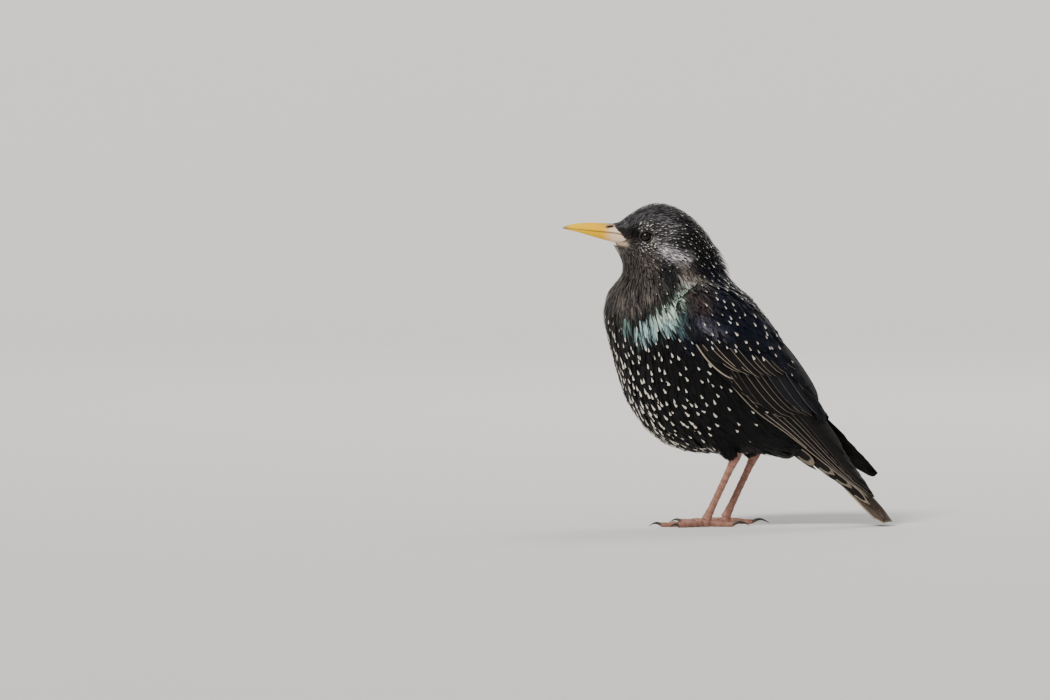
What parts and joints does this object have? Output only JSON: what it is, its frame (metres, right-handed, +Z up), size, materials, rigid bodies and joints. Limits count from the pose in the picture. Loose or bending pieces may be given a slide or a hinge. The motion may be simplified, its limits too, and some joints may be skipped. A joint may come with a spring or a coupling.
{
  "type": "common starling",
  "caption": "Life-size common starling standing upright on its feet, wings folded, tail down, bill held level, as a still museum figure.",
  "frame": {"origin": "middle of the bird's outline box, on the floor between and a little behind the feet", "axes": "-X the way the bill points, +Y towards the bird's right side, +Z up"},
  "size_m": [0.147, 0.0642, 0.1437],
  "materials": {
    "body_plumage": "glossy black contour feathers with a green and purple sheen and pale tips",
    "flight_feathers": "dark brown vanes with narrow buff edges",
    "bill_horn": "smooth yellow horn with a dark tip and a greyish pink base",
    "eye": "wet dark brown",
    "leg_skin": "reddish brown scutes",
    "claw_horn": "dark horn"
  },
  "bodies": {
    "root": {"head": "body_plumage", "neck": "body_plumage", "torso": "body_plumage", "rump": "body_plumage", "bill_upper": "bill_horn", "bill_lower": "bill_horn", "tail": "flight_feathers", "eye_l": "eye", "wing_l": "flight_feathers", "thigh_l": "body_plumage", "tarsus_l": "leg_skin", "foot_l": "leg_skin", "toe_hind_l": "leg_skin", "claw_hind_l": "claw_horn", "toe_inner_l": "leg_skin", "claw_inner_l": "claw_horn", "toe_middle_l": "leg_skin", "claw_middle_l": "claw_horn", "toe_outer_l": "leg_skin", "claw_outer_l": "claw_horn", "eye_r": "eye", "wing_r": "flight_feathers", "thigh_r": "body_plumage", "tarsus_r": "leg_skin", "foot_r": "leg_skin", "toe_hind_r": "leg_skin", "claw_hind_r": "claw_horn", "toe_inner_r": "leg_skin", "claw_inner_r": "claw_horn", "toe_middle_r": "leg_skin", "claw_middle_r": "claw_horn", "toe_outer_r": "leg_skin", "claw_outer_r": "claw_horn"}
  },
  "joints": []
}
